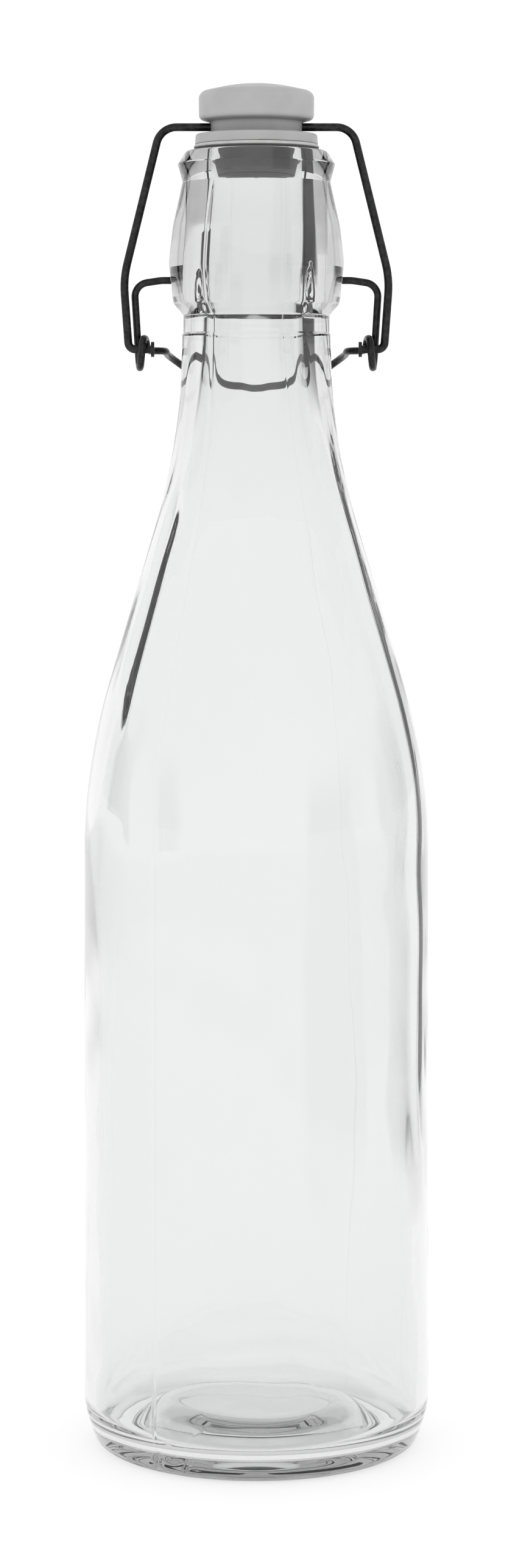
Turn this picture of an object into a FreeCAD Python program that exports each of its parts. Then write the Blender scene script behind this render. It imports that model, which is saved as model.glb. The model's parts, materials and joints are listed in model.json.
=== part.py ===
import FreeCAD, Part
import math
import os

import Sketcher

# A one-litre swing-top bottle: a glass bottle, a lever wire pivoting in two dimples of its neck,
# a bail wire hooked through the lever's eyes, and a stopper with a rubber gasket on the bail.
# The bottle stands on the XY plane with its axis on Z. The thumb handle lies behind, towards +Y.

Vector = FreeCAD.Vector

# Every turned piece is a section of named corners: radius, height and rounding, in millimetres.
BOTTLE_SECTION = [
    ("push_up_crown", 0, 5.5, 0),
    ("push_up_flank", 22.5, 5.5, 10),
    ("resting_ring", 29.5, 0, 1.5),
    ("heel", 39, 0, 4.3),
    ("wall_foot", 42.5, 9.5, 25),
    ("shoulder", 42.5, 166.6, 140),
    ("neck_root", 18.4, 248.5, 160),
    ("seam_step", 18.4, 273.2, 0),
    ("neck_groove", 18.1, 273.6, 0),
    ("bulge_underside", 18.1, 277.9, 1),
    ("bulge_foot", 20.5, 280.8, 1.8),
    ("bulge", 22, 288.5, 25),
    ("bulge_taper", 20.7, 300, 25),
    ("throat", 18.3, 310.9, 1.2),
    ("bead", 19.5, 315.3, 0.7),
    ("lip_edge", 17.4, 318.6, 1.2),
    ("mouth_edge", 11.5, 318.6, 1.5),
    ("bore_foot", 11.5, 300, 60),
    ("inner_neck", 12.6, 255.3, 150),
    ("inner_shoulder", 39.3, 164.6, 135),
    ("inner_heel", 39.3, 5.2, 7),
    ("inner_ring", 30.5, 5.2, 5),
    ("inner_flank", 22, 10.6, 13),
    ("inner_floor", 0, 10.6, 0),
]
STOPPER_SECTION = [
    ("knob_crown", 0, 335.2, 0),
    ("knob_dome", 5, 335.2, 40),
    ("knob_edge", 14.3, 333.1, 2),
    ("knob_skirt", 14.2, 326.5, 1.2),
    ("waist_top", 11.3, 325.6, 0.8),
    ("waist_foot", 11.3, 322.7, 0.8),
    ("flange_top", 15.05, 322.7, 0.6),
    ("flange_foot", 15.2, 320.1, 0.3),
    ("stem_top", 7.9, 320.1, 0),
    ("stem_foot", 7.9, 313.6, 0),
    ("collar_top", 9.4, 313.6, 0.3),
    ("collar_foot", 9.3, 312.4, 0.3),
    ("plug_top", 7.7, 312.4, 0.3),
    ("plug_foot", 7.5, 310.9, 0.5),
    ("nub_top", 0.55, 310.9, 0),
    ("nub_foot", 0.45, 310.3, 0),
    ("nub_centre", 0, 310.3, 0),
]
GASKET_SECTION = [
    ("gasket_seat", 7.9, 320.1, 0),
    ("gasket_shoulder", 15.2, 320.1, 0),
    ("gasket_rim", 15.6, 319.4, 0.3),
    ("gasket_underside", 14.9, 318.9, 0.3),
    ("gasket_throat", 11, 318.9, 0.5),
    ("gasket_tip", 9.6, 313.6, 0.5),
    ("gasket_foot", 7.9, 313.6, 0),
]
# A dimple's section turns about the pivot line: distance from the bottle's axis, radius, rounding.
DIMPLE_SECTION = [
    ("dimple_centre", 19.6, 0, 0),
    ("dimple_floor", 19.6, 2.6, 1.2),
    ("dimple_edge", 22.1, 4.1, 0),
    ("dimple_clear", 24, 4.1, 0),
    ("dimple_out", 24, 0, 0),
]
CLOSURE_SIZES = {
    "pivot_height": 286.6,
    "rod_height": 324.5,
    "rod_hole_radius": 1.08,
    "eye_height": 269.5,
    "eye_setback": 1.85,
    "lever_diameter": 1.8,
    "pivot_end": 19.9,
    "lever_elbow": 30.2,
    "elbow_run": 6.7,
    "elbow_dip": 1.0,
    "elbow_easing": 10.0,
    "elbow_bend": 3.5,
    "ring_radius": 3.6,
    "ring_outer": 29.0,
    "ring_inner": 27.4,
    "ring_lift": 0.9,
    "ring_entry_slack": 0.4,
    "ring_slack": 0.1,
    "arm_bend": 1.6,
    "arm_end_bend": 1.2,
    "arm_drop": 2.9,
    "arm_inset": 0.4,
    "arm_back": 0.2,
    "handle_root": 6.0,
    "handle_root_bend": 5.0,
    "handle_splay": 0.2,
    "handle_half_width": 22.4,
    "handle_depth": 31.0,
    "handle_drop": 7.8,
    "handle_corner_inset": 9.0,
    "handle_corner_drop": 0.7,
    "handle_corner_bend": 9.0,
    "handle_hip": 15.8,
    "handle_hip_inset": 1.2,
    "handle_hip_drop": 5.5,
    "handle_hip_bend": 12.0,
    "handle_tip_bend": 26.0,
    "bail_diameter": 2.0,
    "bail_foot": 31.5,
    "bail_foot_bend": 1.8,
    "bail_knee": 32.8,
    "bail_knee_height": 287.0,
    "bail_knee_bend": 25.0,
    "bail_shoulder": 23.7,
    "bail_shoulder_bend": 5.0,
    "hook_end": 25.2,
    "head_radius": 1.9,
    "head_thickness": 0.8,
}
CORNERS = {
    name: (across, up)
    for name, across, up, _ in BOTTLE_SECTION + STOPPER_SECTION + GASKET_SECTION + DIMPLE_SECTION
}


def fill_sheet(sheet):
    """Write every driving dimension into its own named cell."""
    cells = dict(CLOSURE_SIZES)
    for name, across, up, rounding in BOTTLE_SECTION + STOPPER_SECTION + GASKET_SECTION + DIMPLE_SECTION:
        cells[name + "_across"] = across
        cells[name + "_up"] = up
        if rounding:
            cells[name + "_rounding"] = rounding
    for row, (name, value) in enumerate(cells.items(), start=1):
        sheet.set("A%d" % row, name)
        sheet.set("B%d" % row, str(value))
        sheet.setAlias("B%d" % row, name)


def origin_plane(body, role):
    """Return one of a body's own origin planes."""
    return next(feature for feature in body.Origin.OriginFeatures if feature.Role == role)


def fix_point(sketch, geometry, position, name):
    """Hold a sketch point at its corner's named place; zero distances lie on the sketch's axes."""
    across, up = CORNERS[name]
    if across:
        index = sketch.addConstraint(Sketcher.Constraint("DistanceX", -1, 1, geometry, position, across))
        sketch.setExpression("Constraints[%d]" % index, "sizes.%s_across" % name)
    else:
        sketch.addConstraint(Sketcher.Constraint("PointOnObject", geometry, position, -2))
    if up:
        index = sketch.addConstraint(Sketcher.Constraint("DistanceY", -1, 1, geometry, position, up))
        sketch.setExpression("Constraints[%d]" % index, "sizes.%s_up" % name)
    else:
        sketch.addConstraint(Sketcher.Constraint("PointOnObject", geometry, position, -1))


def corner_bend(before, corner, after, radius):
    """Return the arc's start, middle, end and centre that round a corner of a path."""
    back = (before - corner).normalize()
    ahead = (after - corner).normalize()
    half_angle = back.getAngle(ahead) / 2
    reach = radius / math.tan(half_angle)
    inwards = (back + ahead).normalize()
    centre = corner + inwards * (radius / math.sin(half_angle))
    return corner + back * reach, centre - inwards * radius, corner + ahead * reach, centre


def draw_section(sketch, section):
    """Draw a closed section: straight runs between corners, each rounding tangent to its two runs."""
    places = [Vector(across, up, 0) for _, across, up, _ in section]
    count = len(section)
    bends = []
    for index, (_, _, _, rounding) in enumerate(section):
        if rounding:
            bends.append(corner_bend(places[index - 1], places[index], places[(index + 1) % count], rounding))
        else:
            bends.append((places[index], places[index], places[index], None))
    lines = []
    for index in range(count):
        run = Part.LineSegment(bends[index][2], bends[(index + 1) % count][0])
        lines.append(sketch.addGeometry(run, False))
    for index, (name, _, _, rounding) in enumerate(section):
        before = lines[index - 1]
        after = lines[index]
        if not rounding:
            sketch.addConstraint(Sketcher.Constraint("Coincident", before, 2, after, 1))
            fix_point(sketch, after, 1, name)
            continue
        start, _, end, centre = bends[index]
        turns_left = (start - centre).cross(end - centre).z > 0
        first, last = (start, end) if turns_left else (end, start)
        angles = [math.atan2(point.y - centre.y, point.x - centre.x) for point in (first, last)]
        circle = Part.Circle(centre, Vector(0, 0, 1), rounding)
        arc = sketch.addGeometry(Part.ArcOfCircle(circle, angles[0], angles[1]), False)
        arc_start = 1 if turns_left else 2
        sketch.addConstraint(Sketcher.Constraint("Tangent", before, 2, arc, arc_start))
        sketch.addConstraint(Sketcher.Constraint("Tangent", arc, 3 - arc_start, after, 1))
        radius = sketch.addConstraint(Sketcher.Constraint("Radius", arc, rounding))
        sketch.setExpression("Constraints[%d]" % radius, "sizes.%s_rounding" % name)
        corner = sketch.addGeometry(Part.Point(places[index]), True)
        fix_point(sketch, corner, 1, name)
        sketch.addConstraint(Sketcher.Constraint("PointOnObject", corner, 1, before))
        sketch.addConstraint(Sketcher.Constraint("PointOnObject", corner, 1, after))


def turned_body(doc, name, section):
    """Make a body turned about the Z axis from its section."""
    body = doc.addObject("PartDesign::Body", name)
    sketch = body.newObject("Sketcher::SketchObject", name + "_section")
    sketch.AttachmentSupport = [(origin_plane(body, "XZ_Plane"), "")]
    sketch.MapMode = "FlatFace"
    draw_section(sketch, section)
    turned = body.newObject("PartDesign::Revolution", name + "_turned")
    turned.Profile = sketch
    turned.ReferenceAxis = (sketch, ["V_Axis"])
    turned.Angle = 360
    return body


def make_bottle(doc):
    """The glass wall, with a blind dimple on each side of the neck's bulge for the lever's ends."""
    body = turned_body(doc, "glass_bottle", BOTTLE_SECTION)
    sketch = body.newObject("Sketcher::SketchObject", "dimple_section")
    sketch.AttachmentSupport = [(origin_plane(body, "XZ_Plane"), "")]
    sketch.MapMode = "FlatFace"
    sketch.setExpression("AttachmentOffset.Base.y", "sizes.pivot_height")
    draw_section(sketch, DIMPLE_SECTION)
    dimple = body.newObject("PartDesign::Groove", "dimple")
    dimple.Profile = sketch
    dimple.ReferenceAxis = (sketch, ["H_Axis"])
    dimple.Angle = 360
    both = body.newObject("PartDesign::Mirrored", "both_dimples")
    both.Originals = [dimple]
    both.MirrorPlane = (origin_plane(body, "YZ_Plane"), [""])
    body.Tip = both
    return body


def make_stopper(doc):
    """Knob, waist, flange, stem, collar and plug in one moulding, with the rod's cross hole."""
    body = turned_body(doc, "stopper", STOPPER_SECTION)
    sketch = body.newObject("Sketcher::SketchObject", "rod_hole_section")
    sketch.AttachmentSupport = [(origin_plane(body, "YZ_Plane"), "")]
    sketch.MapMode = "FlatFace"
    rod = CLOSURE_SIZES["rod_height"]
    hole = CLOSURE_SIZES["rod_hole_radius"]
    circle = sketch.addGeometry(Part.Circle(Vector(0, rod, 0), Vector(0, 0, 1), hole), False)
    radius = sketch.addConstraint(Sketcher.Constraint("Radius", circle, hole))
    sketch.setExpression("Constraints[%d]" % radius, "sizes.rod_hole_radius")
    sketch.addConstraint(Sketcher.Constraint("PointOnObject", circle, 3, -2))
    height = sketch.addConstraint(Sketcher.Constraint("DistanceY", -1, 1, circle, 3, rod))
    sketch.setExpression("Constraints[%d]" % height, "sizes.rod_height")
    pocket = body.newObject("PartDesign::Pocket", "rod_hole")
    pocket.Profile = sketch
    pocket.Type = "ThroughAll"
    pocket.Midplane = True
    body.Tip = pocket
    return body


def bent_wire(corners):
    """Return a path of straight runs joined by tangent arcs from (place, bend radius) corners."""
    edges = []
    here = corners[0][0]
    for (before, _), (place, radius), (after, _) in zip(corners, corners[1:], corners[2:]):
        start, middle, end, _ = corner_bend(before, place, after, radius)
        edges.append(Part.LineSegment(here, start).toShape())
        edges.append(Part.Arc(start, middle, end).toShape())
        here = end
    edges.append(Part.LineSegment(here, corners[-1][0]).toShape())
    return Part.Wire(edges)


def mirrored(corners):
    """Return a half path's corners followed by their mirror images across the YZ plane."""
    other = [(Vector(-place.x, place.y, place.z), radius) for place, radius in reversed(corners)]
    shared = 1 if abs(corners[-1][0].x) < 1e-9 else 0
    return corners + other[shared:]


def swept_wire(doc, name, corners, diameter_cell):
    """Sweep a round wire along its bent path, starting at the path's first corner."""
    path = doc.addObject("Part::Feature", name + "_path")
    path.Shape = bent_wire(corners)
    section = doc.addObject("Part::Circle", name + "_section")
    section.setExpression("Radius", "sizes.%s / 2" % diameter_cell)
    heading = corners[1][0] - corners[0][0]
    turn = FreeCAD.Rotation(Vector(0, 0, 1), heading)
    section.Placement = FreeCAD.Placement(corners[0][0], turn)
    wire = doc.addObject("Part::Sweep", name)
    wire.Sections = [section]
    wire.Spine = (path, ["Edge%d" % (number + 1) for number in range(len(path.Shape.Edges))])
    wire.Solid = True
    wire.Frenet = False
    return wire


def lever_corners():
    """One side of the lever: pivot end, elbow, leg, one-turn eye, arm and half of the handle."""
    sizes = CLOSURE_SIZES
    pivot = sizes["pivot_height"]
    elbow = sizes["lever_elbow"]
    radius = sizes["ring_radius"]
    outer = sizes["ring_outer"]
    inner = sizes["ring_inner"]
    lap = (outer - inner) / 3
    low = sizes["eye_height"] - sizes["ring_lift"] - radius
    high = low + 2 * radius
    front = -sizes["eye_setback"] - radius
    back = front + 2 * radius
    arm = high - sizes["arm_drop"]
    width = sizes["handle_half_width"]
    depth = sizes["handle_depth"]
    corner = Vector(width, depth - sizes["handle_corner_inset"], arm - sizes["handle_corner_drop"])
    hip = Vector(sizes["handle_hip"], depth - sizes["handle_hip_inset"], arm - sizes["handle_hip_drop"])
    return [
        (Vector(sizes["pivot_end"], 0, pivot), 0),
        (Vector(elbow - sizes["elbow_run"], 0, pivot), sizes["elbow_easing"]),
        (Vector(elbow, 0, pivot - sizes["elbow_dip"]), sizes["elbow_bend"]),
        (Vector(outer, back, low), radius - sizes["ring_entry_slack"]),
        (Vector(outer - lap, front, low), radius - sizes["ring_slack"]),
        (Vector(outer - 2 * lap, front, high), radius - sizes["ring_slack"]),
        (Vector(inner, back, high), sizes["arm_bend"]),
        (Vector(inner - sizes["arm_inset"], back + sizes["arm_back"], arm), sizes["arm_end_bend"]),
        (Vector(width + sizes["handle_splay"], sizes["handle_root"], arm), sizes["handle_root_bend"]),
        (corner, sizes["handle_corner_bend"]),
        (hip, sizes["handle_hip_bend"]),
        (Vector(0, depth, arm - sizes["handle_drop"]), sizes["handle_tip_bend"]),
    ]


def make_lever(doc):
    """The lever wire, one piece of wire from dimple to dimple round the back of the neck."""
    return swept_wire(doc, "lever_wire", mirrored(lever_corners()), "lever_diameter")


def make_bail(doc):
    """The bail wire: rod through the stopper, two kneed legs, and headed hooks through the eyes."""
    sizes = CLOSURE_SIZES
    eye = Vector(0, -sizes["eye_setback"], sizes["eye_height"])
    rod = Vector(0, 0, sizes["rod_height"])
    knee = eye + (rod - eye) * ((sizes["bail_knee_height"] - eye.z) / (rod.z - eye.z))
    half = [
        (eye + Vector(sizes["hook_end"], 0, 0), 0),
        (eye + Vector(sizes["bail_foot"], 0, 0), sizes["bail_foot_bend"]),
        (knee + Vector(sizes["bail_knee"], 0, 0), sizes["bail_knee_bend"]),
        (rod + Vector(sizes["bail_shoulder"], 0, 0), sizes["bail_shoulder_bend"]),
    ]
    wire = swept_wire(doc, "bail_bent_wire", mirrored(half), "bail_diameter")
    heads = []
    for side, name in ((1, "right_head"), (-1, "left_head")):
        head = doc.addObject("Part::Cylinder", name)
        head.setExpression("Radius", "sizes.head_radius")
        head.setExpression("Height", "sizes.head_thickness")
        turn = FreeCAD.Rotation(Vector(0, 0, 1), Vector(side, 0, 0))
        head.Placement = FreeCAD.Placement(eye + Vector(side * sizes["hook_end"], 0, 0), turn)
        heads.append(head)
    bail = doc.addObject("Part::MultiFuse", "bail_wire")
    bail.Shapes = [wire] + heads
    return bail


def check_document(doc, parts):
    """Stop on any failed object, missing shape or invalid solid."""
    for item in doc.Objects:
        if "Invalid" in item.State or "Error" in item.State:
            raise RuntimeError("%s failed: %s" % (item.Name, item.State))
    for part in parts:
        if part.Shape.isNull() or not part.Shape.isValid() or len(part.Shape.Solids) != 1:
            raise RuntimeError("%s has no single valid solid" % part.Label)


def main():
    doc = FreeCAD.newDocument("growler")
    sheet = doc.addObject("Spreadsheet::Sheet", "sizes")
    fill_sheet(sheet)
    doc.recompute()
    parts = [make_bottle(doc), make_lever(doc), make_bail(doc), make_stopper(doc)]
    parts.append(turned_body(doc, "gasket", GASKET_SECTION))
    doc.recompute()
    check_document(doc, parts)
    os.makedirs("parts", exist_ok=True)
    for part in parts:
        part.Label = part.Name
        part.Shape.exportStep("parts/%s.step" % part.Label)
        print("%-14s volume %9.1f mm3" % (part.Label, part.Shape.Volume))


main()
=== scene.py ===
import json
import math

import bpy
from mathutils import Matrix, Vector, noise


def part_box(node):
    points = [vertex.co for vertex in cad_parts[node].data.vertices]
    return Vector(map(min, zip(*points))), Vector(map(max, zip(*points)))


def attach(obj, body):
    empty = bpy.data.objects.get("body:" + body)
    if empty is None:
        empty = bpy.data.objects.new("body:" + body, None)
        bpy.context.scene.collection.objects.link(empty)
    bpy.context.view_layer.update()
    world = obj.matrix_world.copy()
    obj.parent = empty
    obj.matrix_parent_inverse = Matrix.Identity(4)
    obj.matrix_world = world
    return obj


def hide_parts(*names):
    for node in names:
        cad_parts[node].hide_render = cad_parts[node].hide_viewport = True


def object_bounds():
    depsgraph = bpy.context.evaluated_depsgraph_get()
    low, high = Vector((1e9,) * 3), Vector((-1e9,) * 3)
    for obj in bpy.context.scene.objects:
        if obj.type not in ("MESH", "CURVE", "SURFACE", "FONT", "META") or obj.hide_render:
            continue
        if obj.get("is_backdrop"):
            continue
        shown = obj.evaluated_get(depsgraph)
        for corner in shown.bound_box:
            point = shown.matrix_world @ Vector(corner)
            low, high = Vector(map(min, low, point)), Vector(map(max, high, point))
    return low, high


# A clear-glass swing-top bottle. Sections are written in millimetres and scaled by MM into the frame's
# metres; the bottle's own size and the height of the lever's pivot are read from the frame.
MM = 0.001

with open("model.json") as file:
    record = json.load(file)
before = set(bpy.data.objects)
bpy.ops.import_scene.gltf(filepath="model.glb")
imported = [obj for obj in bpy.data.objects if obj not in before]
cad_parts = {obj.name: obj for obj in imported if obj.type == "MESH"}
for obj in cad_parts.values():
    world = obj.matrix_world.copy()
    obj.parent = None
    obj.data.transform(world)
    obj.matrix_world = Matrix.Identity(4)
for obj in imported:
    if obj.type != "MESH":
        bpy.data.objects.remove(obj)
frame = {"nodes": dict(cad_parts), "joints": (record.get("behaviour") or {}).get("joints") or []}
CAD_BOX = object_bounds()


def joint_place(name):
    """Return a joint's pivot at rest, in the frame's metres."""
    return Vector(next(joint for joint in frame["joints"] if joint["name"] == name)["pos_m"])


PIVOT_HEIGHT = joint_place("lever_pivot").z / MM
BODY_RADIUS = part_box("glass_bottle")[1].x / MM
LIP_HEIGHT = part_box("glass_bottle")[1].z / MM

# Section corners: radius, height and rounding.
GLASS_OUTSIDE = [
    (0, 5.5, 0),
    (22.5, 5.5, 10),
    (29.5, 0, 1.5),
    (39, 0, 4.3),
    (BODY_RADIUS, 9.5, 25),
    (BODY_RADIUS, 166.6, 140),
    (18.4, 248.5, 160),
    (18.4, 273.2, 0.15),
    (18.1, 273.6, 0.15),
    (18.1, 277.9, 1),
    (20.5, 280.8, 1.8),
    (22, 288.5, 25),
    (20.7, 300, 25),
    (18.3, 310.9, 1.2),
    (19.5, 315.3, 0.7),
    (17.4, LIP_HEIGHT, 1.2),
    (13.2, LIP_HEIGHT, 0),
]
GLASS_INSIDE = [
    (13.2, LIP_HEIGHT, 0),
    (11.5, LIP_HEIGHT, 1.5),
    (11.5, 300, 60),
    (12.6, 255.3, 150),
    (39.3, 164.6, 135),
    (39.3, 5.2, 7),
    (30.5, 5.2, 5),
    (22, 10.6, 13),
    (0, 10.6, 0),
]
# The bottle's mesh: the step round a bend in degrees, the most that two rows stand apart, and columns
# evenly spread, with more of them in degrees beside each seam and dimple.
BEND_STEP = 6
ROW_SPACING = 3.5
COLUMNS = 180
SEAM_COLUMNS = (-1.2, -0.8, -0.4, 0, 0.4, 0.8, 1.2)
DIMPLE_COLUMNS = range(-14, 15)
DIMPLE_ROW_SPACING = 0.45
DIMPLE_MARGIN = 1.5
ON_AXIS = 1e-6

# The two dimples that hold the lever's ends; their middle is flat out to a share of their radius.
DIMPLE_RADIUS = 4.1
DIMPLE_FLAT = 0.62
DIMPLE_DEPTH = 2.25

# The mould's parting line, which rises between two heights at its foot, and the nub below it.
SEAM_AZIMUTH = math.radians(-125)
SEAM_RISE = 0.14
SEAM_WIDTH = 0.35
SEAM_START = (2, 6)
SEAM_LOWEST = 1
SEAM_HIGHEST = LIP_HEIGHT - 8
NUB_RISE = 0.5
NUB_WIDTH = 1.1
NUB_HEIGHT = 3.2
NUB_SPREAD = 1.3

# The uneven inside of blown glass: where it sets in and dies out, its two waves and the bore's lean.
WAVE_START = (8, 30)
WAVE_END = (285, 300)
WAVES_ROUND = 1.6
BROAD_WAVE = 0.55
BROAD_LENGTH = 55
FINE_WAVE = 0.16
FINE_LENGTH = 16
FINE_RATIO = 3.1
FINE_OFFSET = (7, 3)
FULL_WAVE_RADIUS = 30
BORE_LEAN = 0.35
LEAN_START = (150, 230)

# Ripples inside the wall: azimuth in degrees, lowest and highest point, width and depth.
FLOW_MARKS = [
    (-20, 70, 262, 2.4, 1.0),
    (17, 110, 240, 2.0, 0.5),
    (205, 182, 236, 2.6, -0.8),
    (213, 172, 214, 2.0, 0.6),
    (160, 40, 150, 2.2, 0.35),
]
MARK_DRIFT = 0.05
DRIFT_LENGTH = 22
MARK_FADE = 0.25

# Painted shade on the plug and the gasket: how near a neighbour has to be to darken them, in metres,
# the openness over which they darken, and how much is left where they are darkest.
PAINTED_SHADE_REACH = 0.006
PAINTED_SHADE_RANGE = (0.1, 0.8)
PAINTED_SHADE_DARKEST = 0.25

# The studio, in metres. A band is four edges: nothing outside the outer two, all inside the middle two.
# The cards' bands are parts of a direction along X or Z, and the cloth's are distances from the bottle.
# CARD_TOP is where the side cards fade out upwards, CARD_IN_GLOSS the share of them that plain gloss
# shows, and FOOT_REACH where the right card's foot fades in on the floor.
STUDIO_LIGHT = 1.08
FLOOR_RADIUS = 30
FLOOR_WHITE = 0.4
FLOOR_GLOW = 0.66
LEFT_CARD = (0.76, 0.84, 0.955, 0.98)
RIGHT_CARD = (0.5, 0.62, 0.955, 0.98)
CARD_ALOFT = (0.55, 0.62, 0.9, 0.96)
CARD_TOP = (0.1, 0.3)
CARD_DARKNESS = 0.97
CARD_IN_GLOSS = 0.35
FOOT_REACH = (0.25, 0.6)
DARK_CLOTH = (0.5, 0.9, 1.2, 6.0)
CLOTH_DARKNESS = 0.42

# How many faces of glass light passes: two for one solid stretch, four for two walls.
ONE_STRETCH = 2
TWO_WALLS = 4

# The camera, in metres and millimetres of lens.
CAMERA_DISTANCE = 0.907
CAMERA_HEIGHT = 0.247
LENS = 84.2
LENS_SHIFT = (-0.0006, -0.219)


def round_corner(before, place, after, radius):
    """Return the points of an arc that rounds a corner, tangent to its two runs."""
    back = (before - place).normalized()
    ahead = (after - place).normalized()
    half = back.angle(ahead) / 2
    centre = place + (back + ahead).normalized() * (radius / math.sin(half))
    first = place + back * (radius / math.tan(half)) - centre
    last = place + ahead * (radius / math.tan(half)) - centre
    sweep = first.angle(last)
    steps = max(2, math.ceil(math.degrees(sweep) / BEND_STEP), math.ceil(sweep * radius / ROW_SPACING))
    points = []
    for step in range(steps + 1):
        share = step / steps
        spread = math.sin((1 - share) * sweep) * first + math.sin(share * sweep) * last
        points.append(centre + spread / math.sin(sweep))
    return points


def fill_runs(points):
    """Add points so that no two neighbours stand further apart than the row spacing."""
    filled = [points[0]]
    for point in points[1:]:
        start = filled[-1]
        pieces = max(1, math.ceil((point - start).length / ROW_SPACING))
        for piece in range(1, pieces + 1):
            filled.append(start.lerp(point, piece / pieces))
    return filled


def outline(section):
    """Sample a turned section's corners as (radius, height) pairs in millimetres."""
    places = [Vector((radius, height, 0)) for radius, height, _ in section]
    points = [places[0]]
    for index in range(1, len(places) - 1):
        rounding = section[index][2]
        if rounding:
            points += round_corner(places[index - 1], places[index], places[index + 1], rounding)
        else:
            points.append(places[index])
    points.append(places[-1])
    return [(point.x, point.y) for point in fill_runs(points)]


def new_piece(name, vertices, faces, body, node, material):
    """Make a smooth mesh piece that rides on a body and stands for a CAD node."""
    mesh = bpy.data.meshes.new(name)
    mesh.from_pydata(vertices, [], faces)
    mesh.validate()
    mesh.polygons.foreach_set("use_smooth", [True] * len(mesh.polygons))
    piece = bpy.data.objects.new(name, mesh)
    bpy.context.scene.collection.objects.link(piece)
    mesh.materials.append(material)
    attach(piece, body)
    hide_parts(node)
    return piece


def turned_mesh(rows, azimuths, place):
    """Return vertices and faces of rows turned about Z; rows on the axis close to a single point."""
    vertices = []
    rings = []
    for row, (radius, height) in enumerate(rows):
        if radius < ON_AXIS:
            rings.append([len(vertices)] * len(azimuths))
            vertices.append((0, 0, height * MM))
            continue
        rings.append(range(len(vertices), len(vertices) + len(azimuths)))
        for azimuth in azimuths:
            vertices.append(place(row, azimuth, radius, height))
    faces = []
    count = len(azimuths)
    for lower, upper in zip(rings, rings[1:]):
        for column in range(count):
            after = (column + 1) % count
            corners = [lower[column], lower[after], upper[after], upper[column]]
            faces.append(list(dict.fromkeys(corners)))
    return vertices, faces


def smooth_step(low, high, value):
    """Return 0 below low, 1 above high and a smooth rise between them."""
    share = min(1.0, max(0.0, (value - low) / (high - low)))
    return share * share * (3 - 2 * share)


def angle_between(first, second):
    """Return the unsigned difference of two azimuths."""
    return abs((first - second + math.pi) % math.tau - math.pi)


def glass_azimuths():
    """Spread the bottle's columns, closer together at the mould seams and the dimples."""
    angles = [math.tau * index / COLUMNS for index in range(COLUMNS)]
    for side in (0, math.pi):
        angles += [SEAM_AZIMUTH + side + math.radians(step) for step in SEAM_COLUMNS]
        angles += [side + math.radians(step) for step in DIMPLE_COLUMNS]
    return sorted(set(round(angle % math.tau, 6) for angle in angles))


def dimple_depth(azimuth, radius, height):
    """Return how far the glass is pressed in near the two pivots."""
    reach = math.hypot(radius * math.sin(azimuth), height - PIVOT_HEIGHT)
    return DIMPLE_DEPTH * (1 - smooth_step(DIMPLE_RADIUS * DIMPLE_FLAT, DIMPLE_RADIUS, reach))


def seam_rise(azimuth, radius, height):
    """Return how far the mould's parting line stands proud."""
    if not SEAM_LOWEST < height < SEAM_HIGHEST:
        return 0.0
    nearest = min(angle_between(azimuth, SEAM_AZIMUTH), angle_between(azimuth, SEAM_AZIMUTH + math.pi))
    across = nearest * radius
    ridge = math.exp(-((across / SEAM_WIDTH) ** 2))
    nub = NUB_RISE * math.exp(-((across / NUB_WIDTH) ** 2) - ((height - NUB_HEIGHT) / NUB_SPREAD) ** 2)
    return SEAM_RISE * ridge * smooth_step(*SEAM_START, height) + nub


def flow_marks(azimuth, radius, height):
    """Return the long shallow ripples where the glass flowed down the mould unevenly."""
    total = 0.0
    for mark_azimuth, low, high, width, depth in FLOW_MARKS:
        if low < height < high:
            drift = MARK_DRIFT * noise.noise(Vector((mark_azimuth, 0, height / DRIFT_LENGTH)))
            across = angle_between(azimuth, math.radians(mark_azimuth) + drift) * radius / width
            reach = (high - low) * MARK_FADE
            ends = smooth_step(low, low + reach, height) * (1 - smooth_step(high - reach, high, height))
            total += depth * ends * math.exp(-(across**2))
    return total


def inner_wave(azimuth, radius, height):
    """Return the uneven thickness that blowing leaves on the inside of the wall."""
    fade = smooth_step(*WAVE_START, height) * (1 - smooth_step(*WAVE_END, height))
    across = Vector((math.cos(azimuth), math.sin(azimuth), 0)) * WAVES_ROUND
    broad = noise.noise(across + Vector((0, 0, height / BROAD_LENGTH)))
    fine = noise.noise(across * FINE_RATIO + Vector((*FINE_OFFSET, height / FINE_LENGTH)))
    lean = -BORE_LEAN * math.cos(azimuth) * smooth_step(*LEAN_START, height)
    wave = (BROAD_WAVE * broad + FINE_WAVE * fine) * min(1.0, radius / FULL_WAVE_RADIUS) + lean
    return fade * wave + flow_marks(azimuth, radius, height)


def outside_rows():
    """Return the rows of the bottle's outside, closer together across the dimples."""
    rows = []
    points = outline(GLASS_OUTSIDE)
    for (radius, height), (next_radius, next_height) in zip(points, points[1:]):
        near_dimple = abs((height + next_height) / 2 - PIVOT_HEIGHT) < DIMPLE_RADIUS + DIMPLE_MARGIN
        pieces = max(1, math.ceil(abs(next_height - height) / DIMPLE_ROW_SPACING)) if near_dimple else 1
        for piece in range(pieces):
            share = piece / pieces
            rows.append((radius + (next_radius - radius) * share, height + (next_height - height) * share))
    return rows


def make_bottle():
    """The glass wall as one closed surface: outside, lip, and a slightly uneven inside."""
    outside = outside_rows()
    inside = outline(GLASS_INSIDE)

    def place(row, azimuth, radius, height):
        if row < len(outside):
            radius += seam_rise(azimuth, radius, height)
            radius -= dimple_depth(azimuth, radius, height)
        else:
            radius += inner_wave(azimuth, radius, height)
        return (radius * math.cos(azimuth) * MM, radius * math.sin(azimuth) * MM, height * MM)

    vertices, faces = turned_mesh(outside + inside, glass_azimuths(), place)
    return new_piece("glass_bottle_shell", vertices, faces, "bottle", "glass_bottle", glass())


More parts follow.
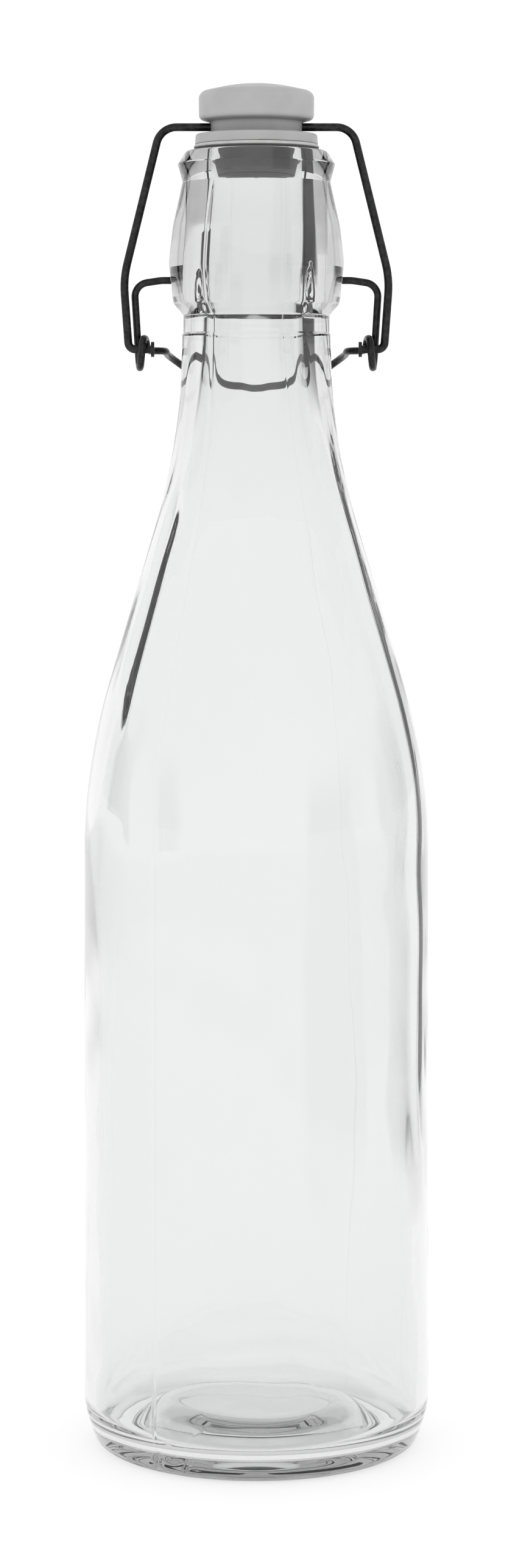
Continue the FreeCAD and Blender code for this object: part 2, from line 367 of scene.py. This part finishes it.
def new_material(name):
    """Return a material, its node tree and its Principled shader."""
    material = bpy.data.materials.new(name)
    material.use_nodes = True
    tree = material.node_tree
    return material, tree, tree.nodes["Principled BSDF"]


def noise_texture(tree, scale, detail=3.0, roughness=0.5, stretch=(1, 1, 1)):
    """Return a noise texture in object coordinates; scale is in cells per metre."""
    place = tree.nodes.new("ShaderNodeTexCoord")
    mapping = tree.nodes.new("ShaderNodeMapping")
    mapping.inputs["Scale"].default_value = stretch
    texture = tree.nodes.new("ShaderNodeTexNoise")
    texture.inputs["Scale"].default_value = scale
    texture.inputs["Detail"].default_value = detail
    texture.inputs["Roughness"].default_value = roughness
    tree.links.new(place.outputs["Object"], mapping.inputs["Vector"])
    tree.links.new(mapping.outputs["Vector"], texture.inputs["Vector"])
    return texture


def ramp(tree, source, stops):
    """Turn a texture's factor into colours or greys through (position, value) stops."""
    node = tree.nodes.new("ShaderNodeValToRGB")
    elements = node.color_ramp.elements
    while len(elements) < len(stops):
        elements.new(0.5)
    for element, (position, value) in zip(elements, stops):
        element.position = position
        element.color = (value, value, value, 1) if isinstance(value, float) else (*value, 1)
    tree.links.new(source.outputs["Fac"], node.inputs["Fac"])
    return node


def add_bump(tree, shader, source, distance):
    """Drive the shader's normal from a texture's height; distance is in metres."""
    bump = tree.nodes.new("ShaderNodeBump")
    bump.inputs["Distance"].default_value = distance
    tree.links.new(source.outputs["Fac"], bump.inputs["Height"])
    tree.links.new(bump.outputs["Normal"], shader.inputs["Normal"])


def math_node(tree, operation, first, second=None):
    """Return the output of a math node over links or numbers."""
    node = tree.nodes.new("ShaderNodeMath")
    node.operation = operation
    for socket, value in zip(node.inputs, (first, second)):
        if isinstance(value, (int, float)):
            socket.default_value = value
        elif value is not None:
            tree.links.new(value, socket)
    return node.outputs["Value"]


def smooth_range(tree, value, source, result):
    """Map a value smoothly from one range to another, held at both ends."""
    node = tree.nodes.new("ShaderNodeMapRange")
    node.interpolation_type = "SMOOTHSTEP"
    node.inputs["From Min"].default_value, node.inputs["From Max"].default_value = source
    node.inputs["To Min"].default_value, node.inputs["To Max"].default_value = result
    tree.links.new(value, node.inputs["Value"])
    return node.outputs["Result"]


def band(tree, value, edges):
    """Return 1 where a value lies between the middle two of four edges, fading to 0 at the outer two."""
    outer_low, low, high, outer_high = edges
    rising = smooth_range(tree, value, (outer_low, low), (0.0, 1.0))
    falling = smooth_range(tree, value, (high, outer_high), (1.0, 0.0))
    return math_node(tree, "MULTIPLY", rising, falling)


def reaches(tree, count, least):
    """Return 1 where a whole-number count has reached a number, else 0."""
    return math_node(tree, "GREATER_THAN", count, least - 0.5)


def paint_shade(tree, colour):
    """Paint shade into a colour where close neighbours, such as the glass round the plug, keep light off
    it.
    """
    # painted shade: ambient occlusion darkens the base colour in crevices and narrow gaps
    open_sky = tree.nodes.new("ShaderNodeAmbientOcclusion")
    open_sky.inputs["Distance"].default_value = PAINTED_SHADE_REACH
    open_sky.samples = 12
    share = smooth_range(tree, open_sky.outputs["AO"], PAINTED_SHADE_RANGE, (PAINTED_SHADE_DARKEST, 1.0))
    mix = tree.nodes.new("ShaderNodeMix")
    mix.data_type = "RGBA"
    mix.blend_type = "MULTIPLY"
    mix.inputs["Factor"].default_value = 1.0
    tree.links.new(colour, mix.inputs["A"])
    tree.links.new(share, mix.inputs["B"])
    return mix.outputs["Result"]


def glass():
    """Clear soda-lime glass: polished, faintly rippled, and slightly grey through its thickness."""
    material, tree, shader = new_material("clear_glass")
    shader.inputs["Base Color"].default_value = (0.915, 0.918, 0.918, 1)
    shader.inputs["Transmission Weight"].default_value = 1.0
    shader.inputs["IOR"].default_value = 1.52
    shader.inputs["Roughness"].default_value = 0.0
    ripple = noise_texture(tree, 38, detail=2, stretch=(1, 1, 0.35))
    add_bump(tree, shader, ripple, 0.00012)
    absorption = tree.nodes.new("ShaderNodeVolumeAbsorption")
    absorption.inputs["Color"].default_value = (0, 0, 0, 1)
    absorption.inputs["Density"].default_value = 12.0
    output = tree.nodes["Material Output"]
    tree.links.new(absorption.outputs["Volume"], output.inputs["Volume"])
    return material


def steel():
    """Dull drawn wire: dark, faintly mottled, with fine rubbed patches."""
    material, tree, shader = new_material("steel_wire")
    shader.inputs["Metallic"].default_value = 1.0
    mottle = noise_texture(tree, 900, detail=4)
    colour = ramp(tree, mottle, [(0.3, (0.022, 0.022, 0.023)), (0.75, (0.05, 0.05, 0.051))])
    tree.links.new(colour.outputs["Color"], shader.inputs["Base Color"])
    rubbed = noise_texture(tree, 1600, detail=2)
    gloss = ramp(tree, rubbed, [(0.3, 0.28), (0.7, 0.46)])
    tree.links.new(gloss.outputs["Color"], shader.inputs["Roughness"])
    add_bump(tree, shader, noise_texture(tree, 5200, detail=3), 0.00001)
    return material


def plastic():
    """Satin moulded plastic with a fine grain and slight cloudiness, and painted shade where close parts
    keep light off it.
    """
    material, tree, shader = new_material("stopper_plastic")
    cloud = noise_texture(tree, 160, detail=5)
    colour = ramp(tree, cloud, [(0.25, (0.38, 0.38, 0.38)), (0.75, (0.43, 0.43, 0.43))])
    # painted shade: the plastic's colour is darkened where the neck's glass and other parts crowd it
    tree.links.new(paint_shade(tree, colour.outputs["Color"]), shader.inputs["Base Color"])
    shader.inputs["Roughness"].default_value = 0.42
    shader.inputs["IOR"].default_value = 1.49
    add_bump(tree, shader, noise_texture(tree, 5200, detail=4, roughness=0.6), 0.00002)
    return material


def rubber():
    """Soft matt rubber with a powdery bloom, and painted shade where close parts keep light off it."""
    material, tree, shader = new_material("gasket_rubber")
    bloom = noise_texture(tree, 420, detail=6, roughness=0.65)
    colour = ramp(tree, bloom, [(0.3, (0.46, 0.46, 0.455)), (0.7, (0.54, 0.54, 0.535))])
    # painted shade: the rubber's colour is darkened where the neck's glass and other parts crowd it
    tree.links.new(paint_shade(tree, colour.outputs["Color"]), shader.inputs["Base Color"])
    shader.inputs["Roughness"].default_value = 0.75
    add_bump(tree, shader, noise_texture(tree, 3800, detail=4), 0.00002)
    return material


def turned_once(tree):
    """Return 1 for light that has been mirrored and has passed one solid stretch of glass, else 0."""
    path = tree.nodes.new("ShaderNodeLightPath")
    mirrored = reaches(tree, path.outputs["Glossy Depth"], 1)
    through_glass = math_node(tree, "COMPARE", path.outputs["Transmission Depth"], ONE_STRETCH)
    return math_node(tree, "MULTIPLY", mirrored, through_glass)


def floor_darkness(tree):
    """Return how dark the far floor is: a dark cloth all round, and the foot of the right card."""
    place = tree.nodes.new("ShaderNodeTexCoord")
    reach = tree.nodes.new("ShaderNodeVectorMath")
    reach.operation = "LENGTH"
    tree.links.new(place.outputs["Object"], reach.inputs[0])
    cloth = math_node(tree, "MULTIPLY", band(tree, reach.outputs["Value"], DARK_CLOTH), CLOTH_DARKNESS)
    parts = tree.nodes.new("ShaderNodeSeparateXYZ")
    tree.links.new(place.outputs["Object"], parts.inputs["Vector"])
    rightward = math_node(tree, "DIVIDE", parts.outputs["X"], reach.outputs["Value"])
    far_enough = smooth_range(tree, reach.outputs["Value"], FOOT_REACH, (0.0, CARD_DARKNESS))
    foot = math_node(tree, "MULTIPLY", band(tree, rightward, RIGHT_CARD), far_enough)
    return math_node(tree, "MULTIPLY", math_node(tree, "MAXIMUM", cloth, foot), turned_once(tree))


def floor_paint():
    """A matt white light table, whose dark far parts show only to light that the glass has turned."""
    material, tree, shader = new_material("pale_floor")
    light = math_node(tree, "SUBTRACT", 1.0, floor_darkness(tree))
    tree.links.new(math_node(tree, "MULTIPLY", light, FLOOR_WHITE), shader.inputs["Base Color"])
    shader.inputs["Roughness"].default_value = 0.9
    shader.inputs["Specular IOR Level"].default_value = 0.1
    shader.inputs["Emission Color"].default_value = (1, 1, 1, 1)
    tree.links.new(math_node(tree, "MULTIPLY", light, FLOOR_GLOW), shader.inputs["Emission Strength"])
    return material


def make_floor():
    """A wide pale disc that the bottle stands on."""
    bpy.ops.mesh.primitive_circle_add(vertices=128, radius=FLOOR_RADIUS, fill_type="NGON")
    floor = bpy.context.object
    floor.name = "floor"
    floor.data.materials.append(floor_paint())
    floor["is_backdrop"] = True


def card_visibility(tree):
    """Return how much of the cards light meets: all of them once it has passed glass, some in plain gloss,
    and none for the camera, for diffuse light or for light that goes straight through two walls."""
    path = tree.nodes.new("ShaderNodeLightPath")
    in_glass = reaches(tree, path.outputs["Transmission Depth"], 1)
    strength = math_node(tree, "MAXIMUM", in_glass, CARD_IN_GLOSS)
    unmirrored = math_node(tree, "SUBTRACT", 1.0, reaches(tree, path.outputs["Glossy Depth"], 1))
    two_walls = reaches(tree, path.outputs["Transmission Depth"], TWO_WALLS)
    straight = math_node(tree, "MULTIPLY", unmirrored, two_walls)
    soft = math_node(tree, "MAXIMUM", path.outputs["Is Camera Ray"], path.outputs["Is Diffuse Ray"])
    blind = math_node(tree, "MAXIMUM", soft, straight)
    return math_node(tree, "MULTIPLY", strength, math_node(tree, "SUBTRACT", 1.0, blind))


def make_world():
    """An even white studio; only gloss and glass see its dark cards, which draw the bottle's edges."""
    world = bpy.data.worlds.new("studio")
    bpy.context.scene.world = world
    world.use_nodes = True
    tree = world.node_tree
    background = tree.nodes["Background"]
    place = tree.nodes.new("ShaderNodeTexCoord")
    parts = tree.nodes.new("ShaderNodeSeparateXYZ")
    tree.links.new(place.outputs["Generated"], parts.inputs["Vector"])
    right = band(tree, parts.outputs["X"], RIGHT_CARD)
    left = band(tree, math_node(tree, "MULTIPLY", parts.outputs["X"], -1.0), LEFT_CARD)
    height = math_node(tree, "ABSOLUTE", parts.outputs["Z"])
    low = smooth_range(tree, height, CARD_TOP, (1.0, 0.0))
    upright = math_node(tree, "MULTIPLY", math_node(tree, "MAXIMUM", right, left), low)
    aloft = band(tree, parts.outputs["Z"], CARD_ALOFT)
    cards = math_node(tree, "MULTIPLY", math_node(tree, "MAXIMUM", upright, aloft), CARD_DARKNESS)
    shown = math_node(tree, "MULTIPLY", cards, card_visibility(tree))
    tree.links.new(math_node(tree, "SUBTRACT", 1.0, shown), background.inputs["Color"])
    background.inputs["Strength"].default_value = STUDIO_LIGHT


def make_camera():
    """A long lens level with the shoulder, shifted down so that the sides stay upright."""
    data = bpy.data.cameras.new("camera")
    data.lens = LENS
    data.shift_x, data.shift_y = LENS_SHIFT
    data.clip_end = 100
    camera = bpy.data.objects.new("camera", data)
    camera.location = (0, -CAMERA_DISTANCE, CAMERA_HEIGHT)
    camera.rotation_euler = (math.pi / 2, 0, 0)
    bpy.context.scene.collection.objects.link(camera)
    bpy.context.scene.camera = camera


def finish_node(node, material):
    """Give a CAD node its finished material."""
    shown = frame["nodes"][node]
    for slot in shown.material_slots:
        slot.material = material


def set_quality():
    """Let light pass through all the glass walls, and show tones as they are."""
    scene = bpy.context.scene
    scene.view_settings.view_transform = "Standard"
    scene.cycles.max_bounces = 32
    scene.cycles.transmission_bounces = 28
    scene.cycles.glossy_bounces = 28
    scene.cycles.transparent_max_bounces = 16


make_floor()
make_world()
make_camera()
set_quality()
make_bottle()
for node, finish in (("lever_wire", steel), ("bail_wire", steel), ("stopper", plastic), ("gasket", rubber)):
    finish_node(node, finish())

boxes = {"cad": CAD_BOX, "visual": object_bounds()}
{name: [list(corner) for corner in box] for name, box in boxes.items()}
